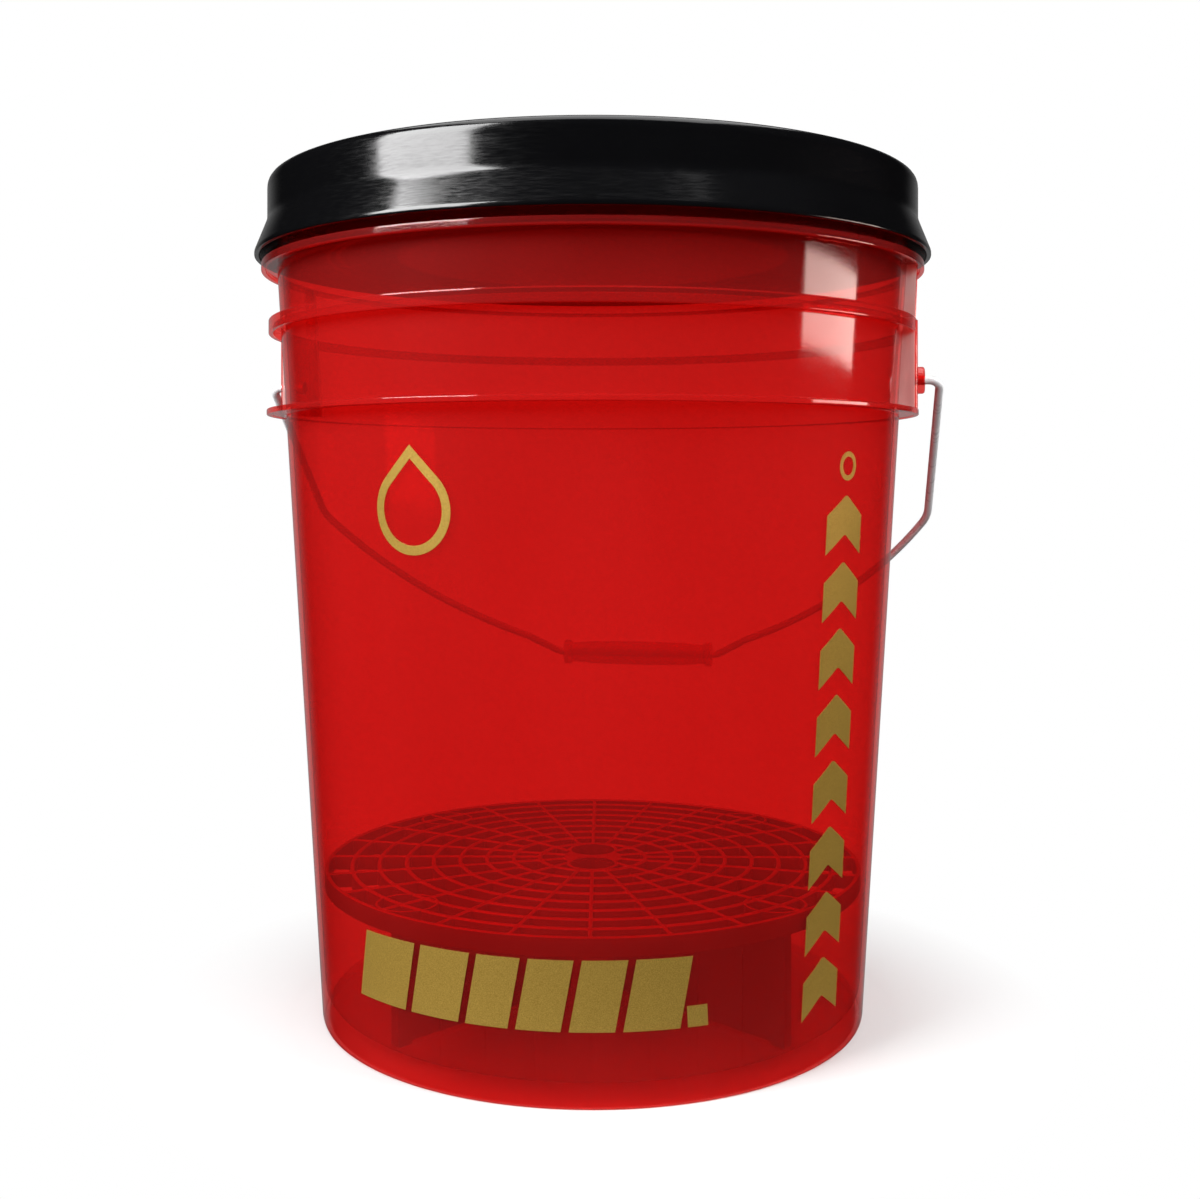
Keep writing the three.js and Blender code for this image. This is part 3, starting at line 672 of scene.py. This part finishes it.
def grit_guard():
    high, r = GUARD["top"], GUARD["r"]
    low, skirt, inner = high - GUARD["web"], high - GUARD["skirt"], r - GUARD["rib"]
    outline = [(0, low), (inner, low), (inner, skirt), (r, skirt), (r, high), (0, high)]
    body = solid("bucket_grit_guard", revolve, rounded(outline, 0.5, {4: 0.9}))
    combine(body, [solid("cells", cell_cutters)], "DIFFERENCE")
    combine(body, [solid("hole", hub_hole_cutter, s * HUB_HOLE["offset"]) for s in (-1, 1)], "DIFFERENCE")
    loop = (HUB_HOLE["r"], HUB_HOLE["rib"], low - 2, 0)
    parts = [solid("loop", collar_ring, *loop, s * HUB_HOLE["offset"]) for s in (-1, 1)]
    for i in range(4):
        angle = math.pi / 4 + i * math.pi / 2
        at = (FINGER["at"] * math.cos(angle), FINGER["at"] * math.sin(angle))
        parts.append(solid("finger", collar_ring, FINGER["r"], FINGER["rib"], low, *at))
        parts += [solid("vane", upright, outline, thick, angle) for outline, thick in vane_outlines()]
    combine(body, parts, "UNION")
    body.data.transform(Matrix.Rotation(math.radians(GUARD["turn"]), 4, "Z"))
    return body


# ---- the cut film ----
def on_wall(centre, s, z, out):
    """A point on the film: s along the wall from the piece's centre, height z, out from the wall."""
    angle = math.radians(centre) + s / wall_r(z)
    r = wall_r(z) + out
    return (r * math.sin(angle), -r * math.cos(angle), z)


def film(name, centre, edges, closed=False):
    """A piece of film made of crosswise edges (s, z, s, z)."""
    loops = []
    for s0, z0, s1, z1 in edges:
        steps = 6
        line = [(s0 + (s1 - s0) * k / steps, z0 + (z1 - z0) * k / steps) for k in range(steps + 1)]
        outer = [on_wall(centre, s, z, FILM["to"]) for s, z in line]
        inner = [on_wall(centre, s, z, FILM["from"]) for s, z in reversed(line)]
        loops.append(inner + outer)
    bm = bmesh.new()
    loft(bm, loops, closed)
    return as_object(name, bm)


def across(width):
    count = math.ceil(width / FILM["strip"])
    return [(i / count - 0.5) * width for i in range(count + 1)]


def drop():
    """A falling drop: a round bottom and two flanks that meet in a point, as a band of even width."""
    r = EMBLEM["width"] / 2
    rise = EMBLEM["height"] - r
    tangent = math.acos(r / rise)
    start, sweep = math.pi / 2 + tangent, 2 * math.pi - 2 * tangent
    inner_r = r - EMBLEM["stroke"]
    inner_rise = inner_r / math.cos(tangent)
    steps = 48
    edges = [(0, rise, 0, inner_rise)]
    for t in [k / 12 for k in range(1, 12)]:
        out = (r * math.cos(start) * t, rise + (r * math.sin(start) - rise) * t)
        into = (inner_r * math.cos(start) * t, inner_rise + (inner_r * math.sin(start) - inner_rise) * t)
        edges.append((*out, *into))
    for i in range(steps + 1):
        a = start + sweep * i / steps
        edges.append((r * math.cos(a), r * math.sin(a), inner_r * math.cos(a), inner_r * math.sin(a)))
    flank = edges[1:12]
    edges += [(-s0, z0, -s1, z1) for s0, z0, s1, z1 in reversed(flank)]
    z = EMBLEM["z"]
    raised = [(s0, z + z0, s1, z + z1) for s0, z0, s1, z1 in edges]
    return film("film_drop", EMBLEM["centre"], raised, True)


def treads():
    made = []
    along = 0
    for i, width in enumerate(TREADS["widths"]):
        middle = along + width / 2
        low, high, slant = TREADS["low"], TREADS["high"], TREADS["slant"]
        edges = [(middle + s, low, middle + s + slant, high) for s in across(width)]
        made.append((film(f"film_tread_{i + 1}", TREADS["from"], edges), f"vinyl_tread_{i + 1}"))
        along += width + TREADS["gap"]
    middle = along + TREAD_DOT / 2
    edges = [(middle + s, TREADS["low"], middle + s, TREADS["low"] + TREAD_DOT) for s in across(TREAD_DOT)]
    made.append((film("film_tread_dot", TREADS["from"], edges), "vinyl_tread_dot"))
    return made


def chevrons():
    made = []
    for i in range(CHEVRONS["count"]):
        low = CHEVRONS["low"] + i * CHEVRONS["pitch"]
        edges = []
        for s in across(CHEVRONS["width"]):
            z = low + CHEVRONS["rise"] * (1 - abs(s) * 2 / CHEVRONS["width"])
            edges.append((s, z, s, z + CHEVRONS["band"]))
        made.append((film(f"film_chevron_{i + 1}", CHEVRONS["centre"], edges), f"vinyl_chevron_{i + 1}"))
    edges = []
    for i in range(FINE):
        a = 2 * math.pi * i / FINE
        radii = (MARK["r"], MARK["r"] - MARK["stroke"])
        edge = [(r * math.cos(a), MARK["z"] + r * math.sin(a)) for r in radii]
        edges.append((*edge[0], *edge[1]))
    made.append((film("film_ring", CHEVRONS["centre"], edges, True), "vinyl_ring"))
    return made


# ---- materials ----
class Nodes:
    """A node tree, with a short way to add and link nodes."""

    def __init__(self, tree):
        self.tree = tree
        self.tree.nodes.clear()

    def node(self, kind, inputs=None, **settings):
        made = self.tree.nodes.new("ShaderNode" + kind)
        for key, value in settings.items():
            setattr(made, key, value)
        for key, value in (inputs or {}).items():
            if isinstance(value, bpy.types.NodeSocket):
                self.tree.links.new(value, made.inputs[key])
            else:
                made.inputs[key].default_value = value
        return made

    def maths(self, operation, *values):
        return self.node("Math", dict(enumerate(values)), operation=operation).outputs[0]


class Shader(Nodes):
    """A material's nodes: placed noise, ramps, bumps and blends."""

    def __init__(self, name):
        self.material = bpy.data.materials.new(name)
        self.material.use_nodes = True
        super().__init__(self.material.node_tree)

    def place(self, stretch=(1, 1, 1)):
        """Object coordinates, stretched."""
        where = self.node("TexCoord").outputs["Object"]
        return self.node("Mapping", {"Vector": where, "Scale": stretch}).outputs[0]

    def noise(self, scale, detail=2.0, rough=0.5, stretch=(1, 1, 1)):
        inputs = {"Vector": self.place(stretch), "Scale": scale, "Detail": detail, "Roughness": rough}
        return self.node("TexNoise", inputs).outputs["Fac"]

    def ramp(self, value, low, high, start, end):
        """value from low..high becomes start..end, and stays within them."""
        inputs = {"Value": value, "From Min": low, "From Max": high, "To Min": start, "To Max": end}
        return self.node("MapRange", inputs).outputs[0]

    def bump(self, height, strength, distance, normal=None):
        inputs = {"Height": height, "Strength": strength, "Distance": distance}
        if normal is not None:
            inputs["Normal"] = normal
        return self.node("Bump", inputs).outputs[0]

    def blend(self, factor, colours):
        """A colour between two colours."""
        low, high = colours
        made = self.node("Mix", data_type="RGBA")
        self.tree.links.new(factor, made.inputs[0])
        made.inputs[6].default_value = (*low, 1)
        made.inputs[7].default_value = (*high, 1)
        return made.outputs[2]

    def mixed(self, share, first, second):
        """Two shaders mixed; share is the second one's part."""
        return self.node("MixShader", {0: share, 1: first.outputs[0], 2: second.outputs[0]})

    def finish(self, shader):
        out = self.node("OutputMaterial")
        self.tree.links.new(shader.outputs[0], out.inputs["Surface"])
        return self.material


def red_translucent(name, finish):
    """Clear red polypropylene: a tinted see-through wall with a milky haze and a glossy skin."""
    s = Shader(name)
    flow = s.noise(finish["waves"], 3, 0.5, (1, 1, 0.25))
    grain = s.noise(900, 2)
    normal = s.bump(grain, 0.05, 0.0001, s.bump(flow, finish["ripple"], 0.0006))
    streaks = s.ramp(flow, 0.3, 0.7, 0, 1)
    clear = s.node("BsdfTransparent", {"Color": s.blend(streaks, CLEAR_RED)})
    paler = tuple(min(1, c * 1.1 + 0.01) for c in finish["pale"])
    haze_colour = s.blend(streaks, (finish["pale"], paler))
    haze = s.node("BsdfPrincipled", {"Base Color": haze_colour, "Roughness": 0.5, "Specular IOR Level": 0.2,
                                     "Normal": normal})
    through = s.node("BsdfTranslucent", {"Color": haze_colour, "Normal": normal})
    milky = s.mixed(0.5, haze, through)
    body = s.mixed(s.ramp(flow, 0.3, 0.7, *finish["milk"]), clear, milky)
    skin = s.node("BsdfGlossy", {"Color": (1, 1, 1, 1), "Roughness": 0.07, "Normal": normal})
    fresnel = s.node("Fresnel", {"IOR": 1.45, "Normal": normal}).outputs[0]
    outer_face = s.maths("SUBTRACT", 1.0, s.node("NewGeometry").outputs["Backfacing"])
    return s.finish(s.mixed(s.maths("MULTIPLY", fresnel, outer_face), body, skin))


def black_gloss():
    """Glossy black lid with fine handling scratches."""
    s = Shader("black_gloss_plastic")
    soft = s.noise(14, 3)
    hair = s.noise(160, 4, 0.6, (1, 1, 9))
    normal = s.bump(hair, 0.04, 0.0002, s.bump(soft, 0.08, 0.0006))
    rough = s.ramp(hair, 0.35, 0.7, 0.1, 0.2)
    inputs = {"Base Color": s.blend(soft, LID_BLACK), "Roughness": rough, "Normal": normal}
    return s.finish(s.node("BsdfPrincipled", inputs))


def satin_red(name, colours, rough, glow=0.0):
    """Moulded satin red plastic with a fine grain; glow is the share of light that goes straight through."""
    s = Shader(name)
    cloud = s.noise(22, 3)
    grain = s.noise(1400, 2)
    normal = s.bump(grain, 0.12, 0.0001, s.bump(cloud, 0.1, 0.0004))
    inputs = {"Base Color": s.blend(cloud, colours), "Normal": normal, "Specular IOR Level": 0.45,
              "Roughness": s.ramp(grain, 0.3, 0.7, rough - 0.05, rough + 0.06)}
    body = s.node("BsdfPrincipled", inputs)
    if not glow:
        return s.finish(body)
    clear = s.node("BsdfTransparent", {"Color": (*GRIP_GLOW, 1)})
    return s.finish(s.mixed(glow, body, clear))


def zinc_wire():
    """Bright zinc-plated wire with faint drawing lines."""
    s = Shader("zinc_wire")
    lines = s.noise(700, 3, 0.6, (0.08, 1, 0.15))
    patches = s.noise(60, 3)
    inputs = {"Base Color": s.blend(patches, ZINC), "Metallic": 0.15, "Normal": s.bump(lines, 0.1, 0.0001),
              "Roughness": s.ramp(lines, 0.3, 0.7, 0.24, 0.36)}
    return s.finish(s.node("BsdfPrincipled", inputs))


def seal_rubber():
    """Dull black rubber with a little dust."""
    s = Shader("seal_rubber")
    dust = s.noise(300, 3)
    inputs = {"Base Color": s.blend(dust, RUBBER), "Roughness": 0.78, "Normal": s.bump(dust, 0.2, 0.0001)}
    return s.finish(s.node("BsdfPrincipled", inputs))


def gold_film():
    """Satin metallic gold film with the sparkle of its flakes."""
    s = Shader("gold_film")
    flakes = s.noise(2600, 2, 0.7)
    cloud = s.noise(30, 2)
    normal = s.bump(flakes, 0.35, 0.00008, s.bump(cloud, 0.05, 0.0004))
    inputs = {"Base Color": s.blend(s.ramp(flakes, 0.35, 0.65, 0, 1), GOLD), "Metallic": 0.6,
              "Roughness": s.ramp(flakes, 0.3, 0.7, 0.36, 0.5), "Normal": normal}
    return s.finish(s.node("BsdfPrincipled", inputs))


# ---- putting the pieces on their bodies ----
def put(obj, material, body, slot, *nodes):
    """Gives a piece its material and its body, in place of the CAD nodes it stands for. The slot is not used.
    """
    obj.data.materials.clear()
    obj.data.materials.append(material)
    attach(obj, body)
    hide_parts(*nodes)


def add_ear_finish(body):
    """The ears' upright plates cooled unevenly: they are milky and rippled."""
    body.data.materials.append(red_translucent("rippled_ear_plastic", EAR_FINISH))
    half, plate = EAR["width"] / 2 * MM, EAR["plate"] * MM
    for face in body.data.polygons:
        x, y, z = face.center
        outside = math.hypot(x, y) > wall_r(z / MM) * MM
        if outside and half - plate <= abs(y) <= half + MM and abs(face.normal.y) > 0.9:
            face.material_index = 1


def add_painted_rib_highlights(guard):
    """The ribs' upward faces at the top get a lighter copy of the guard's red: a painted highlight along the
    ribs.
    """
    guard.data.materials.append(satin_red("guard_rib_painted_highlight", RIB_HIGHLIGHT_RED, 0.3))
    for face in guard.data.polygons:
        if face.normal.z > 0.3 and face.center.z > (GUARD["top"] - 1) * MM:
            face.material_index = 1


def build_bucket():
    body = pail()
    put(body, red_translucent("red_translucent_plastic", WALL_FINISH), "pail", "red_plastic", "pail")
    add_ear_finish(body)
    put(bail_wire(), zinc_wire(), "bail", "steel_wire", "bail_wire")
    put(bail_grip(), satin_red("grip_plastic", GRIP_RED, 0.38, 0.55), "grip", "grip_plastic", "bail_grip")
    lid_black = black_gloss()
    put(lid_ring(), lid_black, "lid_ring", "lid_plastic", "lid_ring")
    put(screw_lid(), lid_black, "screw_lid", "lid_plastic", "screw_lid")
    guard = grit_guard()
    put(guard, satin_red("guard_plastic", GUARD_RED, 0.36), "guard", "guard_plastic", "grit_guard")
    # the ribs' upward faces get a painted highlight
    add_painted_rib_highlights(guard)
    gold = gold_film()
    for piece, node in [(drop(), "vinyl_drop")] + treads() + chevrons():
        put(piece, gold, "pail", "gold_film", node)
    rubber = seal_rubber()
    for node in ("rim_gasket", "lid_o_ring"):
        frame["nodes"][node].data.materials.clear()
        frame["nodes"][node].data.materials.append(rubber)


# ---- floor, light and camera ----
def add_floor():
    """A pale floor that turns into the white backdrop away from the bucket. Near the bucket it is lit paper
    that takes real shadows and is a little darker than the backdrop: a faint painted shade round the base.
    """
    bm = bmesh.new()
    bmesh.ops.create_circle(bm, cap_ends=True, radius=FLOOR["radius"], segments=96)
    floor = as_object("floor", bm)
    s = Shader("floor")
    where = s.node("SeparateXYZ", {0: s.place()}).outputs
    squares = [s.maths("MULTIPLY", where[i], where[i]) for i in (0, 1)]
    radius = s.maths("SQRT", s.maths("ADD", *squares))
    paper = s.node("BsdfDiffuse", {"Color": (*[FLOOR["paper"]] * 3, 1)})
    seen = s.node("LightPath").outputs["Is Camera Ray"]
    glow = s.node("Emission", {"Color": (1, 1, 1, 1), "Strength": seen})
    floor.data.materials.append(s.finish(s.mixed(s.ramp(radius, *FLOOR["fade"], 0, 1), paper, glow)))
    floor.visible_glossy = False


def add_world():
    """White behind the bucket, dark in front of it, as in a white cove with the room's lights off.

    The camera itself sees white all round, and the gloss mirrors only a share of the backdrop.
    """
    world = bpy.data.worlds.new("world")
    world.use_nodes = True
    bpy.context.scene.world = world
    n = Nodes(world.node_tree)
    behind = (-math.sin(VIEW_TURN), math.cos(VIEW_TURN), 0)
    where = n.node("TexCoord").outputs["Generated"]
    facing = n.node("VectorMath", {0: where, 1: behind}, operation="DOT_PRODUCT")
    fall = n.node("MapRange", {"Value": facing.outputs["Value"], "From Min": BACKDROP["from"],
                               "From Max": BACKDROP["to"], "To Min": BACKDROP["dark"], "To Max": 1.0},
                  interpolation_type="SMOOTHSTEP").outputs[0]
    path = n.node("LightPath").outputs
    share = n.maths("MULTIPLY_ADD", path["Is Glossy Ray"], BACKDROP["mirrored"] - 1, 1.0)
    strength = n.maths("MAXIMUM", n.maths("MULTIPLY", fall, share), path["Is Camera Ray"])
    background = n.node("Background", {"Color": (1, 1, 1, 1), "Strength": strength})
    n.node("OutputWorld", {"Surface": background.outputs[0]})


def add_light(name, azimuth, elevation, size, power, aim=0.25, distance=1.5, colour=(1, 1, 1), mirrored=True):
    """An area light that faces the bucket's axis at the height aim.

    A light that isn't mirrored lights the surfaces but doesn't show in their gloss.
    """
    data = bpy.data.lights.new(name, "AREA")
    data.shape = "RECTANGLE"
    data.size, data.size_y = size
    data.energy = power
    data.color = colour
    light = bpy.data.objects.new(name, data)
    a, e = VIEW_TURN + math.radians(azimuth), math.radians(elevation)
    towards = Vector((math.sin(a) * math.cos(e), -math.cos(a) * math.cos(e), math.sin(e)))
    light.location = Vector((0, 0, aim)) + towards * distance
    light.rotation_mode = "QUATERNION"
    light.rotation_quaternion = towards.to_track_quat("Z", "Y")
    light.visible_glossy = mirrored
    bpy.context.scene.collection.objects.link(light)


def add_camera():
    data = bpy.data.cameras.new("camera")
    data.sensor_width = 36
    data.lens = CAMERA["lens"]
    data.shift_x, data.shift_y = CAMERA["shift"]
    data.clip_start = 0.01
    camera = bpy.data.objects.new("camera", data)
    d = CAMERA["distance"]
    camera.location = (d * math.sin(VIEW_TURN), -d * math.cos(VIEW_TURN), CAMERA["height"])
    camera.rotation_euler = (math.pi / 2, 0, VIEW_TURN)
    bpy.context.scene.collection.objects.link(camera)
    bpy.context.scene.camera = camera


add_camera()
build_bucket()
add_floor()
add_world()
for settings in LIGHTS:
    add_light(**settings)
bpy.context.scene.view_settings.view_transform = "Standard"
bpy.context.scene.cycles.transparent_max_bounces = 32
